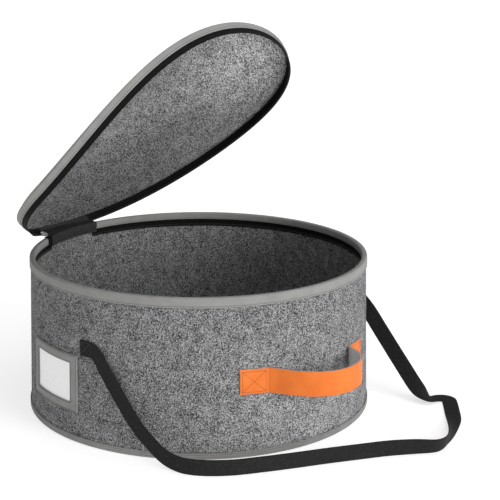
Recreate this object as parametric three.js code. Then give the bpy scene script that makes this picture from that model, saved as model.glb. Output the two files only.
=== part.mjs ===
// Round felt hat box, standing open with its lid tilted back on a cloth hinge.
// Millimetres, +Z up. The origin is the middle of the underside, the carry handle
// faces -Y and the hinge +Y. Azimuths are degrees from -Y, turning towards +X.
import * as THREE from 'three';

// Driving sizes of the drum
const boxHeight = 196;
const topRadius = 213.5;
const bottomRadius = 218.5;
const feltThickness = 3;
const clearance = 0.3;
const roundSteps = 72;

// Bindings, zip tape and the band across the underside
const bindingThickness = 1.2;
const rimOuterLeg = 12.5;
const rimInnerLeg = 9;
const bottomOuterLeg = 8;
const bottomInnerLeg = 12;
const tapeThickness = 0.8;
const bodyTapeWidth = 17;
const bodyTapeTuck = 7;
const tapeEndGap = 6;
const trolleyBandWidth = 24;

// Lid: a felt disc in a standing edge band, hinged behind the rim and curled
const lidInset = 0.6;
const lidOpening = 43;
const lidTurn = 1.7;
const lidSetback = 20;
const lidLift = 6.2;
const lidEdgeHeight = 8.7;
const lidFaceLeg = 12;
const lidTapeStand = 6.8;
const lidCup = 35.7;
const lidNearCurl = 22.8;
const lidTwist = -5.3;
const lidTaper = 12.9;
const lidPinch = 0.73;
const lidRings = 6;

// Cloth hinge and the parked zip slider
const hingeAzimuth = 190.2;
const hingeWidth = 101;
const hingeThickness = 1;
const hingeDrop = 16;
const sliderLength = 9;
const sliderWidth = 6;
const sliderThickness = 4;

// Carry handle
const handleAzimuth = -6.9;
const handleMidHeight = 91;
const handleTilt = 1.2;
const handleWidth = 30;
const handleThickness = 2.2;
const handleGripSpan = 135;
const handlePadLength = 35;
const handleBulge = 46;

// Label pocket
const labelAzimuth = -101.7;
const labelMidHeight = 73.5;
const labelWidth = 101;
const labelHeight = 71;
const windowWidth = 75;
const windowHeight = 49;
const frameThickness = 1.2;
const cardThickness = 0.6;
const cardMargin = 4;

// Shoulder strap
const strapWidth = 20;
const strapThickness = 1.6;
const strapPadLength = 20;
const strapAnchorHeight = 121;
const strapNearAzimuth = -84.7;
const strapFarAzimuth = 89.5;
const strapReach = 130;
const strapSteps = 60;

// Route of the strap from the near anchor to the far one. turn is the share of the way
// round the box, out the share of strapReach beyond the wall, height the share of the
// anchor height, and lean the degrees that the webbing has rolled over from upright.
const strapRoute = [
  { turn: 0.000, out: 0.000, height: 1.000, lean: 0 },
  { turn: 0.008, out: 0.004, height: 0.985, lean: 0 },
  { turn: 0.020, out: 0.012, height: 0.915, lean: 0 },
  { turn: 0.033, out: 0.022, height: 0.823, lean: 0 },
  { turn: 0.063, out: 0.045, height: 0.613, lean: 0 },
  { turn: 0.093, out: 0.084, height: 0.407, lean: 0 },
  { turn: 0.110, out: 0.115, height: 0.309, lean: 0 },
  { turn: 0.131, out: 0.165, height: 0.219, lean: 0 },
  { turn: 0.156, out: 0.235, height: 0.125, lean: 0 },
  { turn: 0.184, out: 0.305, height: 0.040, lean: 0 },
  { turn: 0.208, out: 0.350, height: 0.000, lean: 0 },
  { turn: 0.254, out: 0.371, height: 0.000, lean: 0 },
  { turn: 0.302, out: 0.362, height: 0.000, lean: 0 },
  { turn: 0.351, out: 0.380, height: 0.000, lean: 0 },
  { turn: 0.400, out: 0.434, height: 0.000, lean: 0 },
  { turn: 0.446, out: 0.540, height: 0.000, lean: 0 },
  { turn: 0.486, out: 0.684, height: 0.000, lean: 0 },
  { turn: 0.512, out: 0.850, height: 0.000, lean: -6 },
  { turn: 0.531, out: 1.000, height: 0.000, lean: -24 },
  { turn: 0.544, out: 1.008, height: 0.000, lean: -14 },
  { turn: 0.558, out: 0.971, height: 0.000, lean: 8 },
  { turn: 0.572, out: 0.942, height: 0.000, lean: 32 },
  { turn: 0.586, out: 0.918, height: 0.000, lean: 54 },
  { turn: 0.613, out: 0.893, height: 0.000, lean: 76 },
  { turn: 0.641, out: 0.880, height: 0.000, lean: 90 },
  { turn: 0.668, out: 0.849, height: 0.000, lean: 90 },
  { turn: 0.697, out: 0.828, height: 0.000, lean: 90 },
  { turn: 0.718, out: 0.815, height: 0.000, lean: 90 },
  { turn: 0.725, out: 0.765, height: 0.005, lean: 90 },
  { turn: 0.711, out: 0.695, height: 0.020, lean: 90 },
  { turn: 0.700, out: 0.635, height: 0.045, lean: 93 },
  { turn: 0.699, out: 0.575, height: 0.080, lean: 105 },
  { turn: 0.709, out: 0.510, height: 0.130, lean: 122 },
  { turn: 0.743, out: 0.365, height: 0.332, lean: 133 },
  { turn: 0.790, out: 0.216, height: 0.600, lean: 134 },
  { turn: 0.833, out: 0.120, height: 0.825, lean: 134 },
  { turn: 0.880, out: 0.070, height: 0.945, lean: 144 },
  { turn: 0.930, out: 0.040, height: 0.990, lean: 162 },
  { turn: 0.975, out: 0.014, height: 1.000, lean: 176 },
  { turn: 1.000, out: 0.000, height: 1.000, lean: 180 },
];

// Plan of the handle's grip: along is the share of the grip's half span on the wall from
// its middle, out the share of handleBulge.
const gripRoute = [
  { along: -1.00, out: 0.00 },
  { along: -0.88, out: 0.14 },
  { along: -0.68, out: 0.47 },
  { along: -0.40, out: 0.82 },
  { along: -0.08, out: 1.00 },
  { along: 0.26, out: 0.97 },
  { along: 0.56, out: 0.78 },
  { along: 0.80, out: 0.46 },
  { along: 0.94, out: 0.13 },
  { along: 1.00, out: 0.00 },
];

const felt = new THREE.MeshStandardMaterial({ color: 0x76777a, roughness: 0.95, metalness: 0 });
const greyTape = new THREE.MeshStandardMaterial({ color: 0x969692, roughness: 0.8, metalness: 0 });
const blackTape = new THREE.MeshStandardMaterial({ color: 0x161618, roughness: 0.8, metalness: 0 });
const hingeCloth = new THREE.MeshStandardMaterial({ color: 0x2d2d2f, roughness: 0.85, metalness: 0 });
const webbing = new THREE.MeshStandardMaterial({ color: 0x232325, roughness: 0.75, metalness: 0 });
const orangeHide = new THREE.MeshStandardMaterial({ color: 0xf5873c, roughness: 0.5, metalness: 0 });
const whiteCard = new THREE.MeshStandardMaterial({ color: 0xdedede, roughness: 0.6, metalness: 0 });
const nickel = new THREE.MeshStandardMaterial({ color: 0xc9c9cc, roughness: 0.25, metalness: 1 });

const radians = THREE.MathUtils.degToRad;
const lidRadius = topRadius + clearance + bindingThickness - lidInset;
const underside = bindingThickness + clearance;
const wallTop = boxHeight - underside;

// Outside radius of the felt wall at a height
function wallRadius(height) {
  return THREE.MathUtils.lerp(bottomRadius, topRadius, height / boxHeight);
}

// Point at an azimuth and height, a distance out from the felt wall
function onWall(azimuth, height, out) {
  const radius = wallRadius(height) + out;
  const angle = radians(azimuth);
  return new THREE.Vector3(radius * Math.sin(angle), -radius * Math.cos(angle), height);
}

// Degrees of azimuth that a length covers on the wall
function wallDegrees(length, height) {
  return THREE.MathUtils.radToDeg(length / wallRadius(height));
}

function steps(from, to, count) {
  return Array.from({ length: count + 1 }, (_, i) => THREE.MathUtils.lerp(from, to, i / count));
}

// Closed mesh from shared points and faces, turned so that its faces point out
function solid(points, faces) {
  let volume = 0;
  for (const [a, b, c] of faces) {
    volume += points[a].dot(new THREE.Vector3().crossVectors(points[b], points[c]));
  }
  const order = volume < 0 ? faces.map(([a, b, c]) => [a, c, b]) : faces;
  const geometry = new THREE.BufferGeometry().setFromPoints(points);
  geometry.setIndex(order.flat());
  geometry.computeVertexNormals();
  return geometry;
}

// Ring-shaped body: the rings, each a closed section, follow one another back to the first
function closedLoft(rings) {
  const sides = rings[0].length;
  const faces = [];
  rings.forEach((ring, i) => {
    const here = i * sides;
    const next = ((i + 1) % rings.length) * sides;
    for (let j = 0; j < sides; j += 1) {
      const k = (j + 1) % sides;
      faces.push([here + j, next + j, next + k], [here + j, next + k, here + k]);
    }
  });
  return solid(rings.flat(), faces);
}

// Slab between two grids of points with the same rows and columns
function slab(front, back) {
  const rows = front.length;
  const columns = front[0].length;
  const behind = rows * columns;
  const at = (row, column) => row * columns + column;
  const faces = [];
  for (let row = 0; row + 1 < rows; row += 1) {
    for (let column = 0; column + 1 < columns; column += 1) {
      const a = at(row, column);
      const b = at(row, column + 1);
      const c = at(row + 1, column + 1);
      const d = at(row + 1, column);
      faces.push([a, b, c], [a, c, d]);
      faces.push([behind + a, behind + c, behind + b], [behind + a, behind + d, behind + c]);
    }
  }
  const edge = [];
  for (let column = 0; column + 1 < columns; column += 1) edge.push(at(0, column));
  for (let row = 0; row + 1 < rows; row += 1) edge.push(at(row, columns - 1));
  for (let column = columns - 1; column > 0; column -= 1) edge.push(at(rows - 1, column));
  for (let row = rows - 1; row > 0; row -= 1) edge.push(at(row, 0));
  edge.forEach((a, i) => {
    const b = edge[(i + 1) % edge.length];
    faces.push([a, behind + b, b], [a, behind + a, behind + b]);
  });
  return solid([...front.flat(), ...back.flat()], faces);
}

// Body of revolution about Z from a closed profile of radius and height
function revolved(profile) {
  const points = [...profile, profile[0]].map(([radius, height]) => new THREE.Vector2(radius, height));
  return new THREE.LatheGeometry(points, roundSteps).rotateX(Math.PI / 2);
}

// Drum

function bodyWall() {
  const bottom = wallRadius(underside);
  const top = wallRadius(wallTop);
  return revolved([
    [bottom - feltThickness, underside],
    [bottom, underside],
    [top, wallTop],
    [top - feltThickness, wallTop],
  ]);
}

function bottomPanel() {
  const radius = wallRadius(underside + feltThickness) - feltThickness - clearance;
  const profile = [[0, underside], [radius, underside], [radius, underside + feltThickness],
    [0, underside + feltThickness]];
  const points = profile.map(([x, y]) => new THREE.Vector2(x, y));
  return new THREE.LatheGeometry(points, roundSteps).rotateX(Math.PI / 2);
}

// The rim binding folds over the wall's top edge and, inside, over the zip tape
const innerLegFace = feltThickness + clearance + tapeThickness + clearance;

function rimBinding() {
  const outerFoot = boxHeight - rimOuterLeg;
  const innerFoot = boxHeight - rimInnerLeg;
  const outside = (height, out) => [wallRadius(height) + out, height];
  const outerFace = clearance + bindingThickness;
  return revolved([
    outside(outerFoot, clearance),
    outside(outerFoot, outerFace),
    outside(boxHeight, outerFace),
    outside(boxHeight, -innerLegFace - bindingThickness),
    outside(innerFoot, -innerLegFace - bindingThickness),
    outside(innerFoot, -innerLegFace),
    outside(wallTop + clearance, -innerLegFace),
    outside(wallTop + clearance, clearance),
  ]);
}

const bottomBindingInside = bottomRadius - feltThickness - bottomInnerLeg;

function bottomBinding() {
  const outside = (height, out) => [wallRadius(height) + out, height];
  return revolved([
    [bottomBindingInside, 0],
    outside(0, clearance + bindingThickness),
    outside(bottomOuterLeg, clearance + bindingThickness),
    outside(bottomOuterLeg, clearance),
    outside(bindingThickness, clearance),
    [bottomBindingInside, bindingThickness],
  ]);
}

const hingeHalfTurn = wallDegrees(hingeWidth / 2, boxHeight);

function bodyZipTape() {
  const hingeSide = hingeHalfTurn + wallDegrees(tapeEndGap, boxHeight);
  const start = hingeAzimuth + hingeSide;
  const end = hingeAzimuth + 360 - hingeSide;
  const top = boxHeight - rimInnerLeg + bodyTapeTuck;
  const heights = [top - bodyTapeWidth, top];
  const outerFace = -feltThickness - clearance;
  const turns = steps(start, end, roundSteps - 6);
  const side = (out) => turns.map((azimuth) => heights.map((height) => onWall(azimuth, height, out)));
  return slab(side(outerFace), side(outerFace - tapeThickness));
}

function trolleyBand() {
  const halfWidth = trolleyBandWidth / 2;
  const reach = Math.sqrt((bottomBindingInside - clearance) ** 2 - halfWidth ** 2);
  const inset = 1 - Math.cos(Math.PI / roundSteps);
  const length = 2 * (reach - bottomBindingInside * inset);
  return new THREE.BoxGeometry(length, trolleyBandWidth, bindingThickness)
    .translate(0, 0, bindingThickness / 2);
}

// Lid

const lidHinge = onWall(hingeAzimuth, boxHeight, clearance + bindingThickness + lidSetback)
  .add(new THREE.Vector3(0, 0, lidLift));
const lidFrame = (x, y, z) => new THREE.Vector3(x, y, z)
  .applyAxisAngle(new THREE.Vector3(0, 0, 1), radians(lidTurn));
const lidUp = lidFrame(0, -Math.cos(radians(lidOpening)), Math.sin(radians(lidOpening)));
const lidSide = lidFrame(-1, 0, 0);
const lidInward = lidFrame(0, -Math.sin(radians(lidOpening)), -Math.cos(radians(lidOpening)));

// Point of the curled lid: radius and turn from the hinge, depth in from its outer face
function onLid(radius, turn, depth) {
  const up = lidRadius - radius * Math.cos(turn);
  const across = radius * Math.sin(turn);
  const s = up / lidRadius - 1;
  const r = across / lidRadius;
  const bend = lidTwist * s * r + lidCup * r ** 2 + lidTaper * s * r ** 2 + lidNearCurl * r ** 3;
  const slopeUp = (lidTwist * r + lidTaper * r ** 2) / lidRadius;
  const slopeAcross = (lidTwist * s + 2 * lidCup * r + 2 * lidTaper * s * r
    + 3 * lidNearCurl * r ** 2) / lidRadius;
  const normal = lidInward.clone()
    .addScaledVector(lidUp, -slopeUp)
    .addScaledVector(lidSide, -slopeAcross)
    .normalize();
  const pinch = lidPinch * lidRadius * Math.max(0, -s) ** 2 * Math.max(0, r) ** 2;
  return lidHinge.clone()
    .addScaledVector(lidUp, up)
    .addScaledVector(lidSide, across - pinch)
    .addScaledVector(lidInward, bend)
    .addScaledVector(normal, depth);
}

const lidTurns = steps(0, 2 * Math.PI, roundSteps).slice(0, -1);
const lidFeltOuter = bindingThickness + clearance;
const lidFeltInner = lidFeltOuter + feltThickness;

function lidFelt() {
  const radius = lidRadius - bindingThickness - clearance;
  const points = [];
  const faces = [];
  const layer = [lidFeltOuter, lidFeltInner].map((depth) => {
    const centre = points.push(onLid(0, 0, depth)) - 1;
    for (const ring of [...steps(0, lidRadius - lidFaceLeg, lidRings - 1).slice(1), radius]) {
      lidTurns.forEach((turn) => points.push(onLid(ring, turn, depth)));
    }
    return centre;
  });
  const at = (centre, ring, i) => centre + 1 + (ring - 1) * roundSteps + (i % roundSteps);
  layer.forEach((centre, side) => {
    const face = (a, b, c) => faces.push(side === 0 ? [a, b, c] : [a, c, b]);
    for (let i = 0; i < roundSteps; i += 1) {
      face(centre, at(centre, 1, i), at(centre, 1, i + 1));
      for (let ring = 1; ring < lidRings; ring += 1) {
        face(at(centre, ring, i), at(centre, ring + 1, i), at(centre, ring + 1, i + 1));
        face(at(centre, ring, i), at(centre, ring + 1, i + 1), at(centre, ring, i + 1));
      }
    }
  });
  const [outer, inner] = layer;
  for (let i = 0; i < roundSteps; i += 1) {
    const a = at(outer, lidRings, i);
    const b = at(outer, lidRings, i + 1);
    const c = at(inner, lidRings, i + 1);
    const d = at(inner, lidRings, i);
    faces.push([a, c, b], [a, d, c]);
  }
  return solid(points, faces);
}

function lidEdgeBinding() {
  const section = [
    [lidRadius - lidFaceLeg, 0],
    [lidRadius, 0],
    [lidRadius, lidEdgeHeight],
    [lidRadius - bindingThickness, lidEdgeHeight],
    [lidRadius - bindingThickness, bindingThickness],
    [lidRadius - lidFaceLeg, bindingThickness],
  ];
  return closedLoft(lidTurns.map((turn) => section.map(([radius, depth]) => onLid(radius, turn, depth))));
}

const lidTapeRadius = lidRadius - bindingThickness - clearance;
const lidHingeHalfTurn = hingeWidth / 2 / lidRadius;

function lidZipTape() {
  const depths = [lidFeltInner + clearance, lidEdgeHeight + lidTapeStand];
  const hingeSide = lidHingeHalfTurn + tapeEndGap / lidRadius;
  const turns = steps(hingeSide, 2 * Math.PI - hingeSide, roundSteps - 6);
  const side = (radius) => turns.map((turn) => depths.map((depth) => onLid(radius, turn, depth)));
  return slab(side(lidTapeRadius), side(lidTapeRadius - tapeThickness));
}

// Cloth hinge: from inside the lid's edge, over the rim and down the inside of the wall

function offsetGrid(grid, distance) {
  return grid.map((row, i) => row.map((point, j) => {
    const along = new THREE.Vector3().subVectors(
      grid[Math.min(i + 1, grid.length - 1)][j], grid[Math.max(i - 1, 0)][j]);
    const across = new THREE.Vector3().subVectors(
      row[Math.min(j + 1, row.length - 1)], row[Math.max(j - 1, 0)]);
    const normal = new THREE.Vector3().crossVectors(along, across).normalize();
    return point.clone().addScaledVector(normal, distance);
  }));
}

const hingeHalf = hingeThickness / 2;
const hingeInside = innerLegFace + bindingThickness + clearance + hingeThickness;
const hingeLidRadius = lidTapeRadius - clearance - hingeHalf;

// Middle line of the hinge cloth at a share of its half width from its centre line
function hingeLine(share) {
  const turn = share * (lidHingeHalfTurn - clearance / lidRadius);
  const azimuth = hingeAzimuth + share * (hingeHalfTurn - wallDegrees(clearance, boxHeight));
  const above = boxHeight + clearance + hingeHalf;
  return [
    onLid(hingeLidRadius, turn, lidFeltInner + clearance),
    onLid(hingeLidRadius, turn, lidEdgeHeight),
    onLid(hingeLidRadius - 2 * hingeThickness, turn, lidEdgeHeight + lidTapeStand),
    onWall(azimuth, above + hingeHalf, lidSetback * 0.3),
    onWall(azimuth, above + hingeHalf, 2 * hingeThickness),
    onWall(azimuth, above, -feltThickness),
    onWall(azimuth, above, clearance - hingeInside),
    onWall(azimuth, boxHeight - 2 * hingeThickness, -hingeInside - hingeHalf),
    onWall(azimuth, boxHeight - rimInnerLeg, -hingeInside),
    onWall(azimuth, boxHeight - hingeDrop, -hingeInside),
  ];
}

const hingeColumns = steps(-1, 1, 8).map(hingeLine);
const hingeGrid = hingeColumns[0].map((_, row) => hingeColumns.map((column) => column[row]));

function hingeStrip() {
  return slab(offsetGrid(hingeGrid, hingeHalf), offsetGrid(hingeGrid, -hingeHalf));
}

// The slider sits on the hinge cloth's end, where the two tapes meet
function zipperSlider() {
  const half = sliderLength / 2;
  const nose = sliderWidth / 2;
  const outline = new THREE.Shape([
    new THREE.Vector2(-half, -nose * 0.6),
    new THREE.Vector2(-half * 0.4, -nose),
    new THREE.Vector2(half, -nose * 0.7),
    new THREE.Vector2(half, nose * 0.7),
    new THREE.Vector2(-half * 0.4, nose),
    new THREE.Vector2(-half, nose * 0.6),
  ]);
  return new THREE.ExtrudeGeometry(outline, { depth: sliderThickness, bevelEnabled: false })
    .translate(0, 0, -sliderThickness / 2);
}

// Carry handle, label pocket and shoulder strap

// Piece lying on the wall between two azimuths and heights, from one distance out to another
function wallPatch(azimuths, heights, inner, outer) {
  const side = (out) => azimuths.map((azimuth) => heights.map((height) => onWall(azimuth, height, out)));
  return slab(side(outer), side(inner));
}

function carryHandle() {
  const half = handleThickness / 2;
  const seat = clearance + half;
  const halfSpan = handleGripSpan / 2;
  const toAzimuth = (length) => handleAzimuth + wallDegrees(length, handleMidHeight);
  const pad = steps(halfSpan + handlePadLength, halfSpan + 2, 3);
  const grip = new THREE.CatmullRomCurve3(gripRoute.map(({ along, out }) => new THREE.Vector3(
    along * halfSpan, out * handleBulge, 0)), false, 'centripetal').getPoints(30);
  const plan = [
    ...pad.map((length) => [-length, 0]),
    ...grip.map((point) => [point.x, point.y]),
    ...pad.map((length) => [length, 0]).reverse(),
  ];
  const rise = (length) => handleMidHeight - length * Math.tan(radians(handleTilt));
  const middle = plan.map(([length, out]) => [-0.5, 0.5].map(
    (side) => onWall(toAzimuth(length), rise(length) + side * handleWidth, seat + out)));
  return slab(offsetGrid(middle, half), offsetGrid(middle, -half));
}

function labelCard() {
  const halfWidth = windowWidth / 2 + cardMargin;
  const halfHeight = windowHeight / 2 + cardMargin;
  const turn = wallDegrees(halfWidth, labelMidHeight);
  const azimuths = steps(labelAzimuth - turn, labelAzimuth + turn, 8);
  const heights = [labelMidHeight - halfHeight, labelMidHeight + halfHeight];
  return wallPatch(azimuths, heights, clearance, clearance + cardThickness);
}

// Frame round the window, stepped over the card's margin
function labelFrame() {
  const overCard = clearance + cardThickness + clearance;
  const face = overCard + frameThickness;
  const stepMargin = cardMargin + clearance;
  const section = [
    { margin: 0, out: overCard },
    { margin: 0, out: face },
    { margin: 1, out: face },
    { margin: 1, out: clearance },
    { margin: null, out: clearance },
    { margin: null, out: overCard },
  ];
  const widthAt = (margin) => (margin === null ? windowWidth / 2 + stepMargin
    : THREE.MathUtils.lerp(windowWidth, labelWidth, margin) / 2);
  const heightAt = (margin) => (margin === null ? windowHeight / 2 + stepMargin
    : THREE.MathUtils.lerp(windowHeight, labelHeight, margin) / 2);
  const perimeter = [
    ...steps(-1, 1, 8).map((x) => [x, -1]),
    ...steps(1, -1, 8).map((x) => [x, 1]),
  ];
  return closedLoft(perimeter.map(([x, y]) => section.map(({ margin, out }) => onWall(
    labelAzimuth + wallDegrees(x * widthAt(margin), labelMidHeight),
    labelMidHeight + y * heightAt(margin), out))));
}

function shoulderStrap() {
  const half = strapThickness / 2;
  const seat = clearance + half;
  const padTurn = wallDegrees(strapPadLength, strapAnchorHeight) / 2;
  const from = strapNearAzimuth + padTurn;
  const to = strapFarAzimuth - padTurn;
  const vertical = new THREE.Vector3(0, 0, 1);
  const floorRise = (lean) => strapWidth / 2 * Math.abs(Math.cos(lean)) + half * Math.abs(Math.sin(lean));
  const rows = strapRoute.map(({ turn, out, height, lean }) => {
    const level = Math.max(height * strapAnchorHeight, floorRise(radians(lean)));
    return onWall(THREE.MathUtils.lerp(from, to, turn), level, seat + out * strapReach);
  });
  const middle = new THREE.CatmullRomCurve3(rows, false, 'centripetal');
  const leans = new THREE.CatmullRomCurve3(strapRoute.map(({ lean }) => new THREE.Vector3(lean, 0, 0)));
  const tangentAt = (t) => middle.getTangent(THREE.MathUtils.clamp(t, 0.001, 0.999));
  const rung = (point, tangent, lean) => {
    const left = new THREE.Vector3().crossVectors(vertical, tangent).normalize();
    const upright = new THREE.Vector3().crossVectors(tangent, left);
    const across = upright.multiplyScalar(Math.cos(lean)).addScaledVector(left, Math.sin(lean));
    const normal = new THREE.Vector3().crossVectors(tangent, across).normalize();
    const corners = [1, -1].map((side) => [1, -1].map((edge) => point.clone()
      .addScaledVector(normal, side * half)
      .addScaledVector(across, edge * strapWidth / 2)));
    const lowest = Math.min(0, ...corners.flat().map((corner) => corner.z));
    corners.flat().forEach((corner) => { corner.z -= lowest; });
    return corners;
  };
  const padRung = (azimuth, flip) => [1, -1].map((side) => [1, -1].map((edge) => onWall(
    azimuth, strapAnchorHeight + flip * edge * strapWidth / 2, seat - flip * side * half)));
  const run = steps(0, 1, strapSteps).slice(1, -1).map((t) => rung(
    middle.getPoint(t), tangentAt(t), radians(leans.getPoint(t).x)));
  const rungs = [
    padRung(strapNearAzimuth - padTurn, 1),
    padRung(strapNearAzimuth + padTurn, 1),
    ...run,
    padRung(strapFarAzimuth - padTurn, -1),
    padRung(strapFarAzimuth + padTurn, -1),
  ];
  return slab(rungs.map(([front]) => front), rungs.map(([, back]) => back));
}

function addPiece(group, name, geometry, material) {
  const mesh = new THREE.Mesh(geometry, material);
  mesh.name = name;
  group.add(mesh);
  return mesh;
}

const hatBox = new THREE.Group();
addPiece(hatBox, 'body_wall', bodyWall(), felt);
addPiece(hatBox, 'bottom_panel', bottomPanel(), felt);
addPiece(hatBox, 'rim_binding', rimBinding(), greyTape);
addPiece(hatBox, 'bottom_binding', bottomBinding(), greyTape);
addPiece(hatBox, 'body_zip_tape', bodyZipTape(), blackTape);
addPiece(hatBox, 'trolley_band', trolleyBand(), webbing);
addPiece(hatBox, 'lid_felt', lidFelt(), felt);
addPiece(hatBox, 'lid_edge_binding', lidEdgeBinding(), greyTape);
addPiece(hatBox, 'lid_zip_tape', lidZipTape(), blackTape);
addPiece(hatBox, 'hinge_strip', hingeStrip(), hingeCloth);
addPiece(hatBox, 'carry_handle', carryHandle(), orangeHide);
addPiece(hatBox, 'label_card', labelCard(), whiteCard);
addPiece(hatBox, 'label_frame', labelFrame(), greyTape);
addPiece(hatBox, 'shoulder_strap', shoulderStrap(), webbing);

const slider = addPiece(hatBox, 'zipper_slider', zipperSlider(), nickel);
const sliderSeat = hingeGrid[3][hingeGrid[3].length - 1];
const hingeEnd = new THREE.Vector3().subVectors(sliderSeat, hingeGrid[3][hingeGrid[3].length - 2]).normalize();
slider.position.copy(sliderSeat).addScaledVector(hingeEnd, sliderWidth / 2 + clearance);
slider.rotation.z = radians(hingeAzimuth + hingeHalfTurn - 90);

export default hatBox;
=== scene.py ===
"""Round felt hat box, standing open: felt drum and lid, tape bindings, zip, cloth hinge and straps.

Sizes are millimetres and azimuths degrees from -Y towards +X, as in the model, until a mesh is made.
"""
import math

import bmesh
import bpy
import numpy as np
from mathutils import Matrix, Vector


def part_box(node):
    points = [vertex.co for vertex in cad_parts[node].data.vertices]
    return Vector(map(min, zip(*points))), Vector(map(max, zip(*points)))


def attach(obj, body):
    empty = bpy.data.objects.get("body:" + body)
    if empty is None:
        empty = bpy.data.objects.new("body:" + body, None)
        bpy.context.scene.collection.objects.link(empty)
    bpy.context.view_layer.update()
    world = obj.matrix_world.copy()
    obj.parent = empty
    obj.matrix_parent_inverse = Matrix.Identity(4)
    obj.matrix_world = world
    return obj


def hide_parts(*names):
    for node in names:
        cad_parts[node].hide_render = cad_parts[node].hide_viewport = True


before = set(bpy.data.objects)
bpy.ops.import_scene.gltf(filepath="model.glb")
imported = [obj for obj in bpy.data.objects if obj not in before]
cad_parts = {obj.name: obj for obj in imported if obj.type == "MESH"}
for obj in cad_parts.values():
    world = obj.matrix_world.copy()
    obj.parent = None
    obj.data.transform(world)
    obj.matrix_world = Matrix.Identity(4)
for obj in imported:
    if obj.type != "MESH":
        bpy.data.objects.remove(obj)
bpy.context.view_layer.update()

METRES = 0.001
SEED = 20

# Drum
BOX_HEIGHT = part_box("rim_binding")[1][2] / METRES
TOP_RADIUS = 213.5
BOTTOM_RADIUS = 218.5
FELT = 3.0
GAP = 0.3
TAPE_FOLD = 1.2
RIM_OUTER_LEG = 12.5
RIM_INNER_LEG = 9.0
BASE_OUTER_LEG = 8.0
BASE_INNER_LEG = 12.0
ZIP_TAPE = 0.8
DRUM_ZIP_WIDTH = 17.0
DRUM_ZIP_TUCK = 7.0
BAND_WIDTH = 24.0

# Lid
LID_INSET = 0.6
LID_OPENING = 43.0
LID_TURN = 1.7
LID_SETBACK = 20.0
LID_LIFT = 6.2
LID_EDGE = 8.7
LID_FACE_LEG = 12.0
LID_TAPE_STAND = 6.8
LID_CUP = 35.7
LID_NEAR_CURL = 22.8
LID_TWIST = -5.3
LID_TAPER = 12.9
LID_PINCH = 0.73

# Hinge cloth
HINGE_AZIMUTH = 190.2
HINGE_WIDTH = 101.0
HINGE_CLOTH = 1.0
HINGE_DROP = 12.5

# Carry handle
HANDLE_AZIMUTH = -6.9
HANDLE_HEIGHT = 91.0
HANDLE_TILT = 1.2
HANDLE_WIDTH = 30.0
HANDLE_THICK = 2.2
HANDLE_SPAN = 135.0
HANDLE_PAD = 35.0
HANDLE_BULGE = 46.0

# Label pocket
LABEL_AZIMUTH = -101.7
LABEL_HEIGHT = 73.5
LABEL_OUTER = (101.0, 71.0)
LABEL_WINDOW = (75.0, 49.0)
FRAME_THICK = 1.2
CARD_THICK = 0.6
CARD_MARGIN = 4.0

# Shoulder strap
STRAP_WIDTH = 20.0
STRAP_THICK = 1.6
STRAP_PAD = 20.0
STRAP_HEIGHT = 121.0
STRAP_NEAR = -84.7
STRAP_FAR = 89.5
STRAP_REACH = 130.0

# Route of the strap: share of the way round, share of the reach out from the wall, share of
# the anchor height, and the degrees that the webbing has rolled over from upright
STRAP_ROUTE = np.array([
    (0.000, 0.000, 1.000, 0),
    (0.008, 0.004, 0.985, 0),
    (0.020, 0.012, 0.915, 0),
    (0.033, 0.022, 0.823, 0),
    (0.063, 0.045, 0.613, 0),
    (0.093, 0.084, 0.407, 0),
    (0.110, 0.115, 0.309, 0),
    (0.131, 0.165, 0.219, 0),
    (0.156, 0.235, 0.125, 0),
    (0.184, 0.305, 0.040, 0),
    (0.208, 0.350, 0.000, 0),
    (0.254, 0.371, 0.000, 0),
    (0.302, 0.362, 0.000, 0),
    (0.351, 0.380, 0.000, 0),
    (0.400, 0.434, 0.000, 0),
    (0.446, 0.540, 0.000, 0),
    (0.486, 0.684, 0.000, 0),
    (0.512, 0.850, 0.000, -6),
    (0.531, 1.000, 0.000, -24),
    (0.544, 1.008, 0.000, -14),
    (0.558, 0.971, 0.000, 8),
    (0.572, 0.942, 0.000, 32),
    (0.586, 0.918, 0.000, 54),
    (0.613, 0.893, 0.000, 76),
    (0.641, 0.880, 0.000, 90),
    (0.668, 0.849, 0.000, 90),
    (0.697, 0.828, 0.000, 90),
    (0.718, 0.815, 0.000, 90),
    (0.725, 0.765, 0.005, 90),
    (0.711, 0.695, 0.020, 90),
    (0.700, 0.635, 0.045, 93),
    (0.699, 0.575, 0.080, 105),
    (0.709, 0.510, 0.130, 122),
    (0.743, 0.365, 0.332, 133),
    (0.790, 0.216, 0.600, 134),
    (0.833, 0.120, 0.825, 134),
    (0.880, 0.070, 0.945, 144),
    (0.930, 0.040, 0.990, 162),
    (0.975, 0.014, 1.000, 176),
    (1.000, 0.000, 1.000, 180),
], dtype=[("turn", float), ("out", float), ("height", float), ("lean", float)])

# Plan of the handle's grip: share of the half span along the wall, share of the bulge out
GRIP_ROUTE = np.array([
    (-1.00, 0.00),
    (-0.88, 0.14),
    (-0.68, 0.47),
    (-0.40, 0.82),
    (-0.08, 1.00),
    (0.26, 0.97),
    (0.56, 0.78),
    (0.80, 0.46),
    (0.94, 0.13),
    (1.00, 0.00),
], dtype=[("along", float), ("out", float)])

# Fineness of the meshes, height of the felt's nap and reach of the weld
ROUND = 360
FELT_ROWS = 52
FLOOR_BANDS = 60
LID_BANDS = 66
TAPE_STEP = 2.2
FELT_FUZZ = 0.09
WELD_DISTANCE = 0.02


# Geometry of the drum and the lid

def vectors(*parts):
    return np.stack(np.broadcast_arrays(*parts), -1).astype(float)


def unit(vector):
    return vector / np.maximum(np.linalg.norm(vector, axis=-1, keepdims=True), 1e-9)


def wall_radius(height):
    return BOTTOM_RADIUS + (TOP_RADIUS - BOTTOM_RADIUS) * np.asarray(height) / BOX_HEIGHT


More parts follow.
